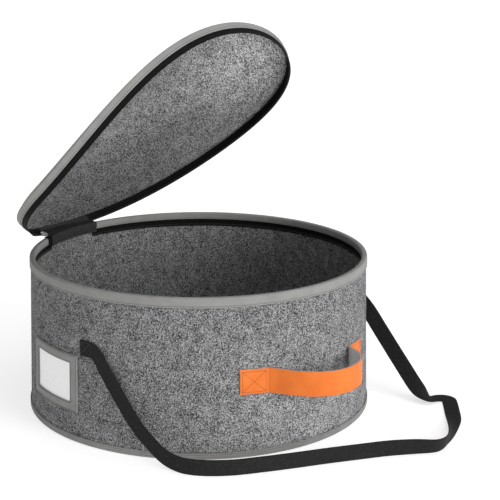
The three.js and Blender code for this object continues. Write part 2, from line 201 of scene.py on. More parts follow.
def on_wall(azimuth, height, out):
    """Points at azimuths and heights, a distance out from the felt wall."""
    radius = wall_radius(height) + out
    angle = np.radians(azimuth)
    return vectors(radius * np.sin(angle), -radius * np.cos(angle), height)


def wall_degrees(length, height):
    return np.degrees(length / wall_radius(height))


def rim_degrees(length):
    return float(wall_degrees(length, BOX_HEIGHT))


def outwards(points):
    """Level unit directions away from the drum's axis."""
    return unit(points * [1, 1, 0])


LID_RADIUS = TOP_RADIUS + GAP + TAPE_FOLD - LID_INSET
LID_SPIN = np.array(Matrix.Rotation(math.radians(LID_TURN), 3, "Z"))
LID_COS = math.cos(math.radians(LID_OPENING))
LID_SIN = math.sin(math.radians(LID_OPENING))
LID_UP = LID_SPIN @ np.array([0, -LID_COS, LID_SIN])
LID_SIDE = LID_SPIN @ np.array([-1.0, 0, 0])
LID_INWARD = LID_SPIN @ np.array([0, -LID_SIN, -LID_COS])
LID_HINGE = on_wall(HINGE_AZIMUTH, BOX_HEIGHT, GAP + TAPE_FOLD + LID_SETBACK) + [0, 0, LID_LIFT]


def on_lid(radius, turn, depth):
    """Points of the curled lid: radius and turn (radians) from the hinge, depth in from its face."""
    radius, turn, depth = (part[..., None] for part in np.broadcast_arrays(radius, turn, depth))
    up = LID_RADIUS - radius * np.cos(turn)
    across = radius * np.sin(turn)
    s = up / LID_RADIUS - 1
    r = across / LID_RADIUS
    bend = LID_TWIST * s * r + LID_CUP * r ** 2 + LID_TAPER * s * r ** 2 + LID_NEAR_CURL * r ** 3
    slope_up = (LID_TWIST * r + LID_TAPER * r ** 2) / LID_RADIUS
    slope_across = (LID_TWIST * s + 2 * LID_CUP * r + 2 * LID_TAPER * s * r
                    + 3 * LID_NEAR_CURL * r ** 2) / LID_RADIUS
    normal = unit(LID_INWARD - LID_UP * slope_up - LID_SIDE * slope_across)
    pinch = LID_PINCH * LID_RADIUS * np.maximum(0, -s) ** 2 * np.maximum(0, r) ** 2
    return LID_HINGE + LID_UP * up + LID_SIDE * (across - pinch) + LID_INWARD * bend + normal * depth


def spline(points, count):
    """Centripetal Catmull-Rom curve through points, count samples, evenly spread over its spans."""
    points = np.asarray(points, float)
    padded = np.vstack([2 * points[0] - points[1], points, 2 * points[-1] - points[-2]])
    knots = np.concatenate([[0], np.cumsum(np.linalg.norm(np.diff(padded[:, :3], axis=0), axis=1) ** 0.5)])
    result = []
    for t in np.linspace(0, len(points) - 1, count):
        i = min(int(t), len(points) - 2)
        p = padded[i:i + 4]
        k = knots[i:i + 4]
        x = k[1] + (k[2] - k[1]) * (t - i)
        a = [((k[j + 1] - x) * p[j] + (x - k[j]) * p[j + 1]) / (k[j + 1] - k[j]) for j in range(3)]
        b = [((k[j + 2] - x) * a[j] + (x - k[j]) * a[j + 1]) / (k[j + 2] - k[j]) for j in range(2)]
        result.append(((k[2] - x) * b[0] + (x - k[1]) * b[1]) / (k[2] - k[1]))
    return np.array(result)


def travelled(points):
    return np.concatenate([[0], np.cumsum(np.linalg.norm(np.diff(points, axis=0), axis=1))])


def sampled(line, along, where):
    """Points of a line at distances where, given the distance along it of each of its own points."""
    return np.stack([np.interp(where, along, line[:, axis]) for axis in range(3)], -1)


def evenly(points, spacing, closed=False):
    """Points along a line at an even spacing, with the unit direction at each."""
    line = np.vstack([points, points[:1]]) if closed else np.asarray(points)
    along = travelled(line)
    count = max(1, int(round(along[-1] / spacing)))
    stops = (np.arange(count) + 0.5) * along[-1] / count
    step = spacing * 0.3
    ahead = sampled(line, along, np.minimum(stops + step, along[-1]))
    behind = sampled(line, along, np.maximum(stops - step, 0))
    return sampled(line, along, stops), unit(ahead - behind)


# Meshes

def finish_piece(obj, material, replaced=()):
    obj.data.materials.append(material)
    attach(obj, "root")
    if replaced:
        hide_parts(*replaced)


def placed(name, data):
    obj = bpy.data.objects.new(name, data)
    bpy.context.scene.collection.objects.link(obj)
    return obj


def mesh_object(name, points, faces, corner_uv=None):
    mesh = bpy.data.meshes.new(name)
    mesh.from_pydata(np.asarray(points) * METRES, [], faces)
    if corner_uv is not None:
        layer = mesh.uv_layers.new(name="length_and_width")
        layer.data.foreach_set("uv", np.asarray(corner_uv, np.float32).ravel() * METRES)
    mesh.shade_smooth()
    return placed(name, mesh)


def loft(name, rings, closed=False):
    """Solid through rings of section points; its UV is length along and width round, in metres."""
    rings = np.asarray(rings, float)
    count, sides = rings.shape[:2]
    spans = count if closed else count - 1
    i, j = np.meshgrid(np.arange(spans), np.arange(sides), indexing="ij")
    k = (j + 1) % sides
    far = (i + 1) % count
    quads = np.stack([i * sides + j, far * sides + j, far * sides + k, i * sides + k], -1).reshape(-1, 4)
    middle = rings.mean(1)
    along = travelled(np.vstack([middle, middle[:1]]) if closed else middle)
    width = travelled(np.vstack([rings[0], rings[0][:1]]))
    steps = ((0, 0), (1, 0), (1, 1), (0, 1))
    uv = np.stack([vectors(along[i + a], width[j + b]) for a, b in steps], -2).reshape(-1, 4, 2)
    points = rings.reshape(-1, 3)
    ends = []
    if not closed:
        ends = [list(range(sides - 1, -1, -1)), list(range((count - 1) * sides, count * sides))]
    sample = np.cross(points[quads[:, 1]] - points[quads[:, 0]], points[quads[:, 3]] - points[quads[:, 0]])
    outward = np.einsum("ij,ij->", sample, points[quads[:, 0]] - np.repeat(middle, sides, 0)[quads[:, 0]])
    if outward < 0:
        quads = quads[:, ::-1]
        uv = uv[:, ::-1]
        ends = [end[::-1] for end in ends]
    end_uv = [[(along[-1] if n else 0.0, width[c % sides]) for c in end] for n, end in enumerate(ends)]
    corner_uv = np.vstack([uv.reshape(-1, 2), *end_uv])
    return mesh_object(name, points, quads.tolist() + ends, corner_uv)


def weld(obj):
    """Joins points that lie together, as at a pole, and turns every face outwards."""
    shell = bmesh.new()
    shell.from_mesh(obj.data)
    bmesh.ops.remove_doubles(shell, verts=shell.verts, dist=WELD_DISTANCE * METRES)
    bmesh.ops.recalc_face_normals(shell, faces=shell.faces)
    shell.to_mesh(obj.data)
    shell.free()
    return obj


def roughen(obj, amount, seed):
    """Moves each point a little along its normal, as felt's nap does."""
    mesh = obj.data
    count = len(mesh.vertices)
    places = np.empty(count * 3)
    mesh.vertices.foreach_get("co", places)
    normals = np.empty(count * 3)
    mesh.vertex_normals.foreach_get("vector", normals)
    shifts = np.random.default_rng(SEED + seed).uniform(-1, 1, count) * amount * METRES
    places = places.reshape(-1, 3) + normals.reshape(-1, 3) * shifts[:, None]
    mesh.vertices.foreach_set("co", places.ravel())
    mesh.update()


def bead(segments=8, rings=4):
    """Points and faces of a ball of radius 1 whose poles are on X."""
    points = [(1, 0, 0)]
    for ring in range(1, rings):
        polar = math.pi * ring / rings
        girth = math.sin(polar)
        for turn in np.arange(segments) * 2 * math.pi / segments:
            points.append((math.cos(polar), girth * math.cos(turn), girth * math.sin(turn)))
    points.append((-1, 0, 0))
    faces = []
    last = len(points) - 1
    for j in range(segments):
        k = (j + 1) % segments
        faces.append([0, 1 + j, 1 + k])
        for ring in range(rings - 2):
            start = 1 + ring * segments
            faces.append([start + j, start + segments + j, start + segments + k, start + k])
        start = 1 + (rings - 2) * segments
        faces.append([start + k, start + j, last])
    return np.array(points, float), faces


def scatter(name, places, along, normal, half_size):
    """One mesh of beads at places, each half_size long on its along, across and normal directions."""
    along = unit(along)
    across = unit(np.cross(normal, along))
    up = np.cross(along, across)
    shape, faces = bead()
    cloud = places[:, None] + (shape * half_size) @ np.stack([along, across, up], 1)
    listed = [[corner + i * len(shape) for corner in face] for i in range(len(places)) for face in faces]
    return mesh_object(name, cloud.reshape(-1, 3), listed)


def nearest(points, places):
    return np.array([np.argmin(((points - place) ** 2).sum(1)) for place in places])


STITCH_PITCH = 3.4
STITCH_SIZE = (1.25, 0.34, 0.30)


def stitches(name, lines, material, pitch=STITCH_PITCH):
    """Stitch rows: each line is (points, outward normals at those points, whether it closes)."""
    rows = []
    for points, outward, closed in lines:
        at, way = evenly(points, pitch, closed)
        rows.append((at, way, outward[nearest(points, at)]))
    obj = scatter(name, *(np.vstack(part) for part in zip(*rows)), STITCH_SIZE)
    finish_piece(obj, material)


# Materials

def new_material(name, roughness, specular=0.5):
    material = bpy.data.materials.new(name)
    material.use_nodes = True
    shader = material.node_tree.nodes["Principled BSDF"]
    shader.inputs["Roughness"].default_value = roughness
    shader.inputs["Specular IOR Level"].default_value = specular
    return material, material.node_tree, shader


def add_node(tree, kind, values=None, **settings):
    node = tree.nodes.new(kind)
    for key, value in settings.items():
        setattr(node, key, value)
    for key, value in (values or {}).items():
        node.inputs[key].default_value = value
    return node


def noise(tree, coordinates, scale, detail=2.0, roughness=0.5, distortion=0.0):
    node = add_node(tree, "ShaderNodeTexNoise", {
        "Scale": scale, "Detail": detail, "Roughness": roughness, "Distortion": distortion})
    tree.links.new(coordinates, node.inputs["Vector"])
    return node.outputs["Fac"]


def ramp(tree, value, low, high, start, end):
    """Value mapped from start..end to low..high, clamped."""
    node = add_node(tree, "ShaderNodeMapRange", {
        "From Min": start, "From Max": end, "To Min": low, "To Max": high})
    tree.links.new(value, node.inputs["Value"])
    return node.outputs["Result"]


def maths(tree, operation, first, second):
    node = add_node(tree, "ShaderNodeMath", operation=operation)
    for socket, value in zip(node.inputs, (first, second)):
        if isinstance(value, (int, float)):
            socket.default_value = value
        else:
            tree.links.new(value, socket)
    return node.outputs["Value"]


def blend_colours(tree, factor, dark, light):
    node = add_node(tree, "ShaderNodeMix", data_type="RGBA")
    sockets = [socket for socket in node.inputs if socket.type == "RGBA"]
    for socket, colour in zip(sockets, (dark, light)):
        socket.default_value = (*colour, 1)
    tree.links.new(factor, node.inputs[0])
    return next(output for output in node.outputs if output.type == "RGBA")


def paint(tree, shader, shade, dark, pale):
    tree.links.new(blend_colours(tree, shade, dark, pale), shader.inputs["Base Color"])


def bump(tree, shader, height, distance, strength):
    node = add_node(tree, "ShaderNodeBump", {"Strength": strength, "Distance": distance * METRES})
    tree.links.new(height, node.inputs["Height"])
    tree.links.new(node.outputs["Normal"], shader.inputs["Normal"])


def object_coordinates(tree):
    return tree.nodes.new("ShaderNodeTexCoord").outputs["Object"]


def mapped(tree, place, turn, scale, kind="POINT"):
    lay = add_node(tree, "ShaderNodeMapping", {"Rotation": turn, "Scale": scale}, vector_type=kind)
    tree.links.new(place, lay.inputs["Vector"])
    return lay.outputs["Vector"]


def laid_along(tree, place, axis, size, stretch):
    """Coordinates whose unit is size millimetres, and stretch times that along an axis."""
    turn = Vector(axis).to_track_quat("Z", "Y").to_euler()
    unit_size = size * METRES
    return mapped(tree, place, turn, (unit_size, unit_size, unit_size * stretch), "TEXTURE")


def felt_material(name, axis, stretch, dark, pale, painted_light_patches=()):
    """Grey heather felt: dark and pale fibres at 1 to 2 mm with larger blotches, laid along an axis.

    Each row of painted_light_patches is a pool of painted light: the felt's colour is lifted round that
    place.
    """
    material, tree, shader = new_material(name, 0.95, 0.12)
    place = object_coordinates(tree)
    grain = noise(tree, laid_along(tree, place, axis, FELT_GRAIN, stretch), 1.0, 3.0, 0.75, 0.6)
    blotches = noise(tree, laid_along(tree, place, axis, FELT_BLOTCH, stretch), 1.0, 3.0, 0.65)
    strands = None
    for turn in FIBRE_TURNS:
        lay = mapped(tree, place, turn, FIBRE_SCALE)
        strand = noise(tree, lay, 1.0, detail=1.0, distortion=0.3)
        strands = strand if strands is None else maths(tree, "MAXIMUM", strands, strand)
    pale_fibres = ramp(tree, strands, 0.0, 0.62, 0.60, 0.80)
    shade = maths(tree, "ADD", ramp(tree, grain, -0.24, 0.98, 0.40, 0.62), pale_fibres)
    shade = maths(tree, "ADD", shade, ramp(tree, blotches, -0.14, 0.14, 0.34, 0.66))
    colour = blend_colours(tree, shade, dark, pale)
    # Painted light: near each patch's place the felt's colour is scaled up by its gain, fading out over its
    # reach.
    for patch in painted_light_patches:
        away = add_node(tree, "ShaderNodeVectorMath", operation="DISTANCE")
        tree.links.new(place, away.inputs[0])
        away.inputs[1].default_value = patch["place"] * METRES
        lift = add_node(tree, "ShaderNodeVectorMath", operation="SCALE")
        tree.links.new(colour, lift.inputs[0])
        tree.links.new(ramp(tree, away.outputs["Value"], patch["gain"], 1.0, 0.0, patch["reach"] * METRES),
                       lift.inputs["Scale"])
        colour = lift.outputs["Vector"]
    tree.links.new(colour, shader.inputs["Base Color"])
    bump(tree, shader, shade, 0.5, 0.7)
    return material


def threads(tree, scale, distortion, way):
    """Rows of threads that repeat along one way of the UV map, which is in metres."""
    wave = add_node(tree, "ShaderNodeTexWave", {"Scale": scale, "Distortion": distortion, "Detail": 1.0},
                    wave_type="BANDS", bands_direction=way)
    tree.links.new(tree.nodes.new("ShaderNodeTexCoord").outputs["UV"], wave.inputs["Vector"])
    return wave.outputs["Fac"]


def tape_material():
    """Pale grey binding tape: close cross ribs and a little soiling."""
    material, tree, shader = new_material("pale_grey_binding_tape", 0.8, 0.2)
    place = object_coordinates(tree)
    lint = noise(tree, place, 1300)
    soiling = noise(tree, place, 55, detail=3.0, roughness=0.6)
    soiled, linted = (ramp(tree, value, 0.0, 0.5, 0.3, 0.7) for value in (soiling, lint))
    shade = maths(tree, "ADD", soiled, linted)
    paint(tree, shader, shade, TAPE_DARK, TAPE_PALE)
    ribs = maths(tree, "MULTIPLY", threads(tree, 260.0, 0.6, "X"), 0.5)
    bump(tree, shader, maths(tree, "ADD", ribs, lint), 0.16, 0.6)
    return material


def cloth_material(name, dark, pale, scale, depth, roughness):
    """Plain-woven dark cloth: crossed threads along and across the strip."""
    material, tree, shader = new_material(name, roughness, 0.15)
    woven = maths(tree, "MULTIPLY", threads(tree, scale, 0.4, "X"), threads(tree, scale, 0.4, "Y"))
    lint = noise(tree, object_coordinates(tree), 420, detail=3.0, roughness=0.7)
    shade = maths(tree, "ADD", maths(tree, "MULTIPLY", woven, 0.6), ramp(tree, lint, -0.3, 0.5, 0.35, 0.75))
    paint(tree, shader, shade, dark, pale)
    bump(tree, shader, woven, depth, 0.8)
    return material


def hide_material(name, dark, pale, roughness, grain):
    """Smooth coated hide: fine grain, faint cloudy tone and a soft gloss."""
    material, tree, shader = new_material(name, roughness, 0.2)
    place = object_coordinates(tree)
    clouds = noise(tree, place, 38, detail=3.0, roughness=0.6)
    pores = add_node(tree, "ShaderNodeTexVoronoi", {"Scale": 900.0}, feature="DISTANCE_TO_EDGE")
    tree.links.new(place, pores.inputs["Vector"])
    paint(tree, shader, ramp(tree, clouds, 0.0, 1.0, 0.3, 0.7), dark, pale)
    bump(tree, shader, ramp(tree, pores.outputs["Distance"], 0.0, 1.0, 0.0, 0.2), grain, 0.35)
    return material


def plain_material(name, colour, roughness, variation=0.12, scale=500.0, metallic=0.0, coat=0.0):
    """Even material with a little fine variation in tone and surface."""
    material, tree, shader = new_material(name, roughness)
    shader.inputs["Metallic"].default_value = metallic
    shader.inputs["Coat Weight"].default_value = coat
    shader.inputs["Coat Roughness"].default_value = 0.08
    grain = noise(tree, object_coordinates(tree), scale, detail=3.0, roughness=0.6)
    dark = [channel * (1 - variation) for channel in colour]
    pale = [min(1.0, channel * (1 + variation)) for channel in colour]
    paint(tree, shader, ramp(tree, grain, 0.0, 1.0, 0.3, 0.7), dark, pale)
    bump(tree, shader, grain, 0.05, 0.4)
    return material


FELT_GRAIN = 1.45
FELT_BLOTCH = 15.0
LID_LAY = (0.75, 0.47, -0.47)
# A pool of painted light on the wall's felt, low down near the handle's side.
WALL_PAINTED_LIGHT = [
    {"place": on_wall(-2.0, 36.0, 0.0), "reach": 175.0, "gain": 1.48},
]
# Pools of painted light on the lid's felt: a bright one towards the lid's far end and a fainter one near
# its middle.
LID_PAINTED_LIGHT = [
    {"place": on_lid(170.0, math.pi + 0.55, 0.0), "reach": 140.0, "gain": 1.9},
    {"place": on_lid(40.0, math.pi - 1.2, 0.0), "reach": 90.0, "gain": 1.35},
]
FIBRE_TURNS = ((0.3, 0.2, 0.4), (1.3, 0.7, 2.1), (2.2, 1.5, 0.9))
FIBRE_SCALE = (850.0, 170.0, 850.0)
TAPE_DARK = (0.205, 0.205, 0.20)
TAPE_PALE = (0.285, 0.285, 0.278)

felt = felt_material("grey_heather_felt", (0, 0, 1), 1.0,
                     (0.022, 0.022, 0.023), (0.43, 0.43, 0.435), WALL_PAINTED_LIGHT)
# The lid's felt is the wall's felt painted about a fifth lighter, as painted light on the lid.
lid_felt_painted_lighter = felt_material("grey_heather_felt_of_lid_painted_lighter", LID_LAY, 2.2,
                        (0.026, 0.026, 0.027), (0.52, 0.52, 0.525), LID_PAINTED_LIGHT)
tape = tape_material()
zip_cloth = cloth_material("black_zip_tape", (0.003, 0.003, 0.0034), (0.010, 0.010, 0.0105),
                           330.0, 0.12, 0.9)
zip_coil = plain_material("black_zip_coil", (0.007, 0.007, 0.0075), 0.5)
hinge_cloth = cloth_material("charcoal_hinge_cloth", (0.022, 0.022, 0.023), (0.062, 0.062, 0.063),
                             300.0, 0.14, 0.85)
webbing = cloth_material("black_webbing", (0.009, 0.009, 0.0093), (0.034, 0.034, 0.035), 230.0, 0.22, 0.75)
orange_hide = hide_material("orange_hide", (0.67, 0.150, 0.021), (0.74, 0.188, 0.030), 0.5, 0.06)
hide_backing = plain_material("grey_hide_backing", (0.60, 0.595, 0.59), 0.9, 0.2)
tape_thread = plain_material("grey_sewing_thread", (0.075, 0.075, 0.074), 0.7)
orange_thread = plain_material("orange_sewing_thread", (0.24, 0.065, 0.02), 0.6)
black_thread = plain_material("black_sewing_thread", (0.02, 0.02, 0.021), 0.6)
white_card = plain_material("white_card", (0.88, 0.88, 0.88), 0.5, 0.02, 200.0, coat=0.35)
nickel = plain_material("nickel_slider", (0.46, 0.46, 0.47), 0.2, 0.06, 300.0, metallic=1.0)

CIRCLE = np.arange(ROUND) * 360.0 / ROUND


def revolve(name, profile):
    """Ring from a closed profile of (height, out from the wall) points."""
    return loft(name, on_wall(CIRCLE[:, None], *profile.T), closed=True)


def rounded(corners, radius, steps=3):
    """Closed outline with each corner turned into an arc of at most that radius."""
    corners = np.asarray(corners, float)
    result = []
    for here, before, after in zip(corners, np.roll(corners, 1, 0), np.roll(corners, -1, 0)):
        back = min(radius, np.linalg.norm(before - here) / 2.2)
        ahead = min(radius, np.linalg.norm(after - here) / 2.2)
        start = here + unit(before - here) * back
        end = here + unit(after - here) * ahead
        for t in np.linspace(0, 1, steps + 1):
            result.append((1 - t) ** 2 * start + 2 * t * (1 - t) * here + t ** 2 * end)
    return np.array(result)


def rectangle(length, width, corner, steps=4):
    """Outline of a rectangle about the origin, with rounded corners."""
    x, y = length / 2, width / 2
    return rounded([(-x, -y), (x, -y), (x, y), (-x, y)], corner, steps)


def divided(outline, spacing):
    """Closed outline with extra points wherever two lie further apart than spacing."""
    result = []
    for here, after in zip(outline, np.roll(outline, -1, 0)):
        count = max(1, int(math.ceil(np.linalg.norm(after - here) / spacing)))
        for t in np.arange(count) / count:
            result.append(here * (1 - t) + after * t)
    return np.array(result)


# Drum

UNDERSIDE = TAPE_FOLD + GAP
WALL_TOP = BOX_HEIGHT - UNDERSIDE


def body_wall():
    profile = divided(rounded([(UNDERSIDE, -FELT), (UNDERSIDE, 0), (WALL_TOP, 0), (WALL_TOP, -FELT)], 0.8),
                      WALL_TOP / FELT_ROWS)
    wall = revolve("felt_wall", profile)
    roughen(wall, FELT_FUZZ, 1)
    finish_piece(wall, felt, ["body_wall"])


def disc_section(radius, low, high, edge, bands):
    """Half section of a round panel with a bevelled edge, its two faces finely divided."""
    radii = np.linspace(0, radius - edge, bands)
    return np.array([(r, low) for r in radii] + [(radius, low + edge), (radius, high - edge)]
                    + [(r, high) for r in radii[::-1]]).T


def bottom_panel():
    radius = float(wall_radius(UNDERSIDE + FELT)) - FELT - GAP
    radii, heights = disc_section(radius, UNDERSIDE, UNDERSIDE + FELT, 0.75, FLOOR_BANDS)
    angle = np.radians(CIRCLE)[:, None]
    rings = vectors(radii * np.sin(angle), -radii * np.cos(angle), heights)
    panel = weld(loft("felt_bottom", rings, closed=True))
    roughen(panel, FELT_FUZZ, 2)
    finish_piece(panel, felt, ["bottom_panel"])


INNER_LEG = FELT + GAP + ZIP_TAPE + GAP
SEAM_INSET = 2.0
SEAM_DIP = 0.65
THREAD_IN_GROOVE = 0.16
THREAD_ON_FACE = 0.08


def rim_binding():
    outer = GAP + TAPE_FOLD
    inner = -INNER_LEG - TAPE_FOLD
    foot = BOX_HEIGHT - RIM_OUTER_LEG
    inner_foot = BOX_HEIGHT - RIM_INNER_LEG
    outline = rounded([
        (foot, GAP), (foot, outer - 0.35), (foot + 0.7, outer), (foot + 1.4, outer),
        (foot + SEAM_INSET, outer - SEAM_DIP), (foot + 2.6, outer), (BOX_HEIGHT - 1.4, outer),
        (BOX_HEIGHT, outer - 1.4), (BOX_HEIGHT, inner + 1.4), (BOX_HEIGHT - 1.4, inner),
        (inner_foot, inner), (inner_foot, -INNER_LEG), (WALL_TOP + GAP, -INNER_LEG), (WALL_TOP + GAP, GAP),
    ], 0.9, 4)
    binding = revolve("rim_tape", divided(outline, TAPE_STEP))
    finish_piece(binding, tape, ["rim_binding"])
    line = on_wall(CIRCLE, foot + SEAM_INSET, outer - SEAM_DIP + THREAD_IN_GROOVE)
    inside = on_wall(CIRCLE, inner_foot + 1.8, inner - THREAD_ON_FACE)
    outward = outwards(line)
    stitches("rim_tape_seam", [(line, outward, True), (inside, -outward, True)], tape_thread)


def bottom_binding():
    inside = BOTTOM_RADIUS - FELT - BASE_INNER_LEG
    face = GAP + TAPE_FOLD
    reach = inside - BOTTOM_RADIUS
    outline = rounded([
        (0.0, reach), (0.0, face - 1.0), (0.9, face), (2.6, face), (3.2, face - 0.9), (3.8, face),
        (BASE_OUTER_LEG - 2.7, face), (BASE_OUTER_LEG - SEAM_INSET, face - SEAM_DIP),
        (BASE_OUTER_LEG - 1.4, face), (BASE_OUTER_LEG, face), (BASE_OUTER_LEG, GAP),
        (TAPE_FOLD, GAP), (TAPE_FOLD, reach),
    ], 0.6, 3)
    binding = revolve("base_tape", divided(outline, TAPE_STEP))
    finish_piece(binding, tape, ["bottom_binding"])
    line = on_wall(CIRCLE, BASE_OUTER_LEG - SEAM_INSET, face - SEAM_DIP + THREAD_IN_GROOVE)
    under = on_wall(CIRCLE, 0.32, reach + 2.4)
    down = np.tile([0, 0, -1.0], (ROUND, 1))
    stitches("base_tape_seam", [(line, outwards(line), True), (under, down, True)],
             tape_thread)


def strip(name, front, back, edge=0.5):
    """Strip between two rows of lines, front[i] and back[i], each from one edge to the other."""
    rings = []
    for near, far in zip(front, back):
        middle_start = (near[0] + far[0]) / 2 + unit(near[0] - near[1]) * edge
        middle_end = (near[-1] + far[-1]) / 2 + unit(near[-1] - near[-2]) * edge
        rings.append(np.vstack([near, middle_end[None], far[::-1], middle_start[None]]))
    return loft(name, np.array(rings))


COIL_PITCH = 1.9
COIL_SIZE = (1.7, 0.62, 0.7)
COIL_STAND = 0.35
ZIP_EDGE = 0.3


def zip_coil_row(name, line, across, normal):
    """Row of nylon coil turns along a line: across and normal are given at the line's points."""
    at, _ = evenly(line, COIL_PITCH)
    which = nearest(line, at)
    obj = scatter(name, at, across[which], normal[which], COIL_SIZE)
    finish_piece(obj, zip_coil)


HINGE_HALF_TURN = rim_degrees(HINGE_WIDTH / 2)
HINGE_COVER = 5.0
TAPE_END_WIDTH = 9.0


def body_zip_tape():
    side = HINGE_HALF_TURN - rim_degrees(HINGE_COVER)
    turns = np.linspace(HINGE_AZIMUTH + side, HINGE_AZIMUTH + 360 - side, ROUND)[:, None]
    top = BOX_HEIGHT - RIM_INNER_LEG + DRUM_ZIP_TUCK
    heights = np.linspace(top - DRUM_ZIP_WIDTH, top, 10)[None]
    face = -FELT - GAP
    ribs = np.array([0.0, 0.0, 0.12, 0.0, 0.12, 0.0, 0.0, 0.0, 0.0, 0.0])[None]
    inner = on_wall(turns, heights, face - ZIP_TAPE - ribs)
    outer = on_wall(turns, heights, face)
    finish_piece(strip("drum_zip_tape", inner, outer, ZIP_EDGE), zip_cloth, ["body_zip_tape"])
    line = on_wall(turns[:, 0], top - DRUM_ZIP_WIDTH + 2.0, face - ZIP_TAPE - COIL_STAND)
    inward = -outwards(line)
    zip_coil_row("drum_zip_coil", line, np.tile([0, 0, 1.0], (len(line), 1)), inward)


def zip_tape_end():
    """End of the drum's zip tape, turned up over the rim beside the hinge to meet the slider."""
    start = HINGE_AZIMUTH + HINGE_HALF_TURN + rim_degrees(GAP)
    azimuths = np.linspace(start, start + rim_degrees(TAPE_END_WIDTH), 12)
    foot = BOX_HEIGHT - RIM_INNER_LEG
    inside = -INNER_LEG - TAPE_FOLD - ZIP_TAPE
    above = BOX_HEIGHT + ZIP_TAPE
    height_and_out = np.array([
        (foot - 4.0, inside + 1.2),
        (foot - 1.0, inside),
        (BOX_HEIGHT - 2.5, inside),
        (BOX_HEIGHT - 0.4, inside + 0.4),
        (above, inside + 2.4),
        (above, 0.0),
    ])
    lines = np.array([spline(on_wall(azimuth, *height_and_out.T), 30) for azimuth in azimuths])
    normals = grid_normals(lines)
    half = ZIP_TAPE / 2
    piece = strip("drum_zip_tape_end", lines + normals * half, lines - normals * half, ZIP_EDGE)
    finish_piece(piece, zip_cloth)


def trolley_band():
    low, high = (np.array(corner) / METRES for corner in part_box("trolley_band"))
    half = (high[0] - low[0]) / 2
    section = divided(rectangle(BAND_WIDTH, TAPE_FOLD, 0.5, 3) + [0, TAPE_FOLD / 2], 2.0)
    rings = vectors(np.linspace(-half, half, 90)[:, None], *section.T)
    finish_piece(loft("underside_band", rings), webbing, ["trolley_band"])


# Lid

TURNS = np.arange(ROUND) * 2 * math.pi / ROUND
LID_FELT_OUTER = TAPE_FOLD + GAP
LID_FELT_INNER = LID_FELT_OUTER + FELT
LID_TAPE_RADIUS = LID_RADIUS - TAPE_FOLD - GAP
LID_HINGE_HALF = HINGE_WIDTH / 2 / LID_RADIUS


def lid_felt():
    radii, depths = disc_section(LID_TAPE_RADIUS, LID_FELT_OUTER, LID_FELT_INNER, 0.7, LID_BANDS)
    panel = weld(loft("felt_lid", on_lid(radii, TURNS[:, None], depths), closed=True))
    roughen(panel, FELT_FUZZ, 3)
    finish_piece(panel, lid_felt_painted_lighter, ["lid_felt"])


def lid_edge_binding():
    face = LID_RADIUS - LID_FACE_LEG
    inside = LID_RADIUS - TAPE_FOLD
    outline = rounded([
        (face, 0.25), (face + 0.6, 0.0), (LID_RADIUS - 1.1, 0.0), (LID_RADIUS, 1.1),
        (LID_RADIUS, LID_EDGE - 0.4), (LID_RADIUS - 0.4, LID_EDGE), (inside, LID_EDGE),
        (inside, TAPE_FOLD), (face, TAPE_FOLD),
    ], 0.6, 3)
    radii, depths = divided(outline, 2.0).T
    rings = on_lid(radii, TURNS[:, None], depths)
    finish_piece(loft("lid_edge_tape", rings, closed=True), tape, ["lid_edge_binding"])
    rows = []
    for radius, depth, out_radius, out_depth in (
            (LID_RADIUS + THREAD_ON_FACE, LID_EDGE - 1.8, 1.0, 0.0),
            (face + SEAM_INSET, -THREAD_ON_FACE, 0.0, -1.0)):
        line = on_lid(radius, TURNS, depth)
        rows.append((line, unit(on_lid(radius + out_radius, TURNS, depth + out_depth) - line), True))
    stitches("lid_edge_seam", rows, tape_thread)


def lid_zip_tape():
    side = LID_HINGE_HALF - HINGE_COVER / LID_RADIUS
    turns = np.linspace(side, 2 * math.pi - side, ROUND)[:, None]
    depths = np.linspace(LID_FELT_INNER + GAP, LID_EDGE + LID_TAPE_STAND, 8)[None]
    outer = on_lid(LID_TAPE_RADIUS, turns, depths)
    inner = on_lid(LID_TAPE_RADIUS - ZIP_TAPE, turns, depths)
    woven = strip("lid_zip_tape_woven", outer, inner, ZIP_EDGE)
    finish_piece(woven, zip_cloth, ["lid_zip_tape"])
    depth = LID_EDGE + LID_TAPE_STAND - 1.7
    radius = LID_TAPE_RADIUS - ZIP_TAPE - COIL_STAND
    line = on_lid(radius, turns[:, 0], depth)
    across = on_lid(radius, turns[:, 0], depth + 1) - line
    inward = unit(on_lid(radius - 1, turns[:, 0], depth) - line)
    zip_coil_row("lid_zip_coil", line, across, inward)


# Cloth hinge

HINGE_INSIDE = INNER_LEG + TAPE_FOLD + GAP + HINGE_CLOTH
HINGE_COLUMNS = 49
HINGE_SAMPLES = 64
HINGE_SLACK = 0.22


def hinge_line(share):
    """Middle line of the hinge cloth at a share of its half width, from the lid to the drum."""
    half = HINGE_CLOTH / 2
    radius = LID_TAPE_RADIUS - ZIP_TAPE - COIL_SIZE[2] - half
    turn = share * (LID_HINGE_HALF - GAP / LID_RADIUS)
    azimuth = HINGE_AZIMUTH + share * (HINGE_HALF_TURN - rim_degrees(GAP))
    above = BOX_HEIGHT + GAP + half
    radius_and_depth = np.array([
        (radius, LID_FELT_INNER + GAP),
        (radius, LID_EDGE),
        (radius - HINGE_CLOTH, LID_EDGE + 2 * HINGE_CLOTH),
    ])
    height_and_out = np.array([
        (above + HINGE_CLOTH, LID_SETBACK * 0.3),
        (above + half, 2 * HINGE_CLOTH),
        (above, -FELT),
        (above, GAP - HINGE_INSIDE),
        (BOX_HEIGHT - 2 * HINGE_CLOTH, -HINGE_INSIDE - half),
        (BOX_HEIGHT - RIM_INNER_LEG, -HINGE_INSIDE),
        (BOX_HEIGHT - HINGE_DROP, -HINGE_INSIDE),
    ])
    radii, depths = radius_and_depth.T
    return np.vstack([on_lid(radii, turn, depths), on_wall(azimuth, *height_and_out.T)])


def grid_normals(grid):
    along = np.gradient(grid, axis=0)
    across = np.gradient(grid, axis=1)
    return unit(np.cross(along, across))


